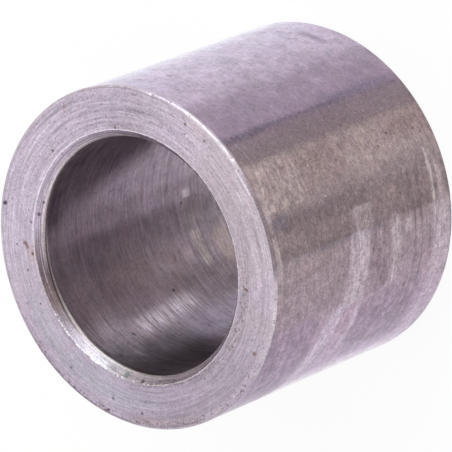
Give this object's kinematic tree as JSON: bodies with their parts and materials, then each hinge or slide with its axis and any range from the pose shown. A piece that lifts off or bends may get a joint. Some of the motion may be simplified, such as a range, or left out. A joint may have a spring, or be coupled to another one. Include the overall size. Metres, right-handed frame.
{
  "type": "spacer",
  "caption": "Thick-walled turned steel spacer sleeve with square-faced ends, broken outer edges and a chamfered plain bore.",
  "frame": {"origin": "centre of the rear end face, which the spacer stands on", "axes": "+Z along the bore axis, out of the front mouth that the picture shows; -Y is the side the picture's camera stands on"},
  "size_m": [0.036, 0.036, 0.03],
  "materials": {
    "turned_steel": "bare turned steel with facing rings, fine scuffs and a few rust specks"
  },
  "bodies": {
    "root": {"spacer": "turned_steel"}
  },
  "joints": []
}
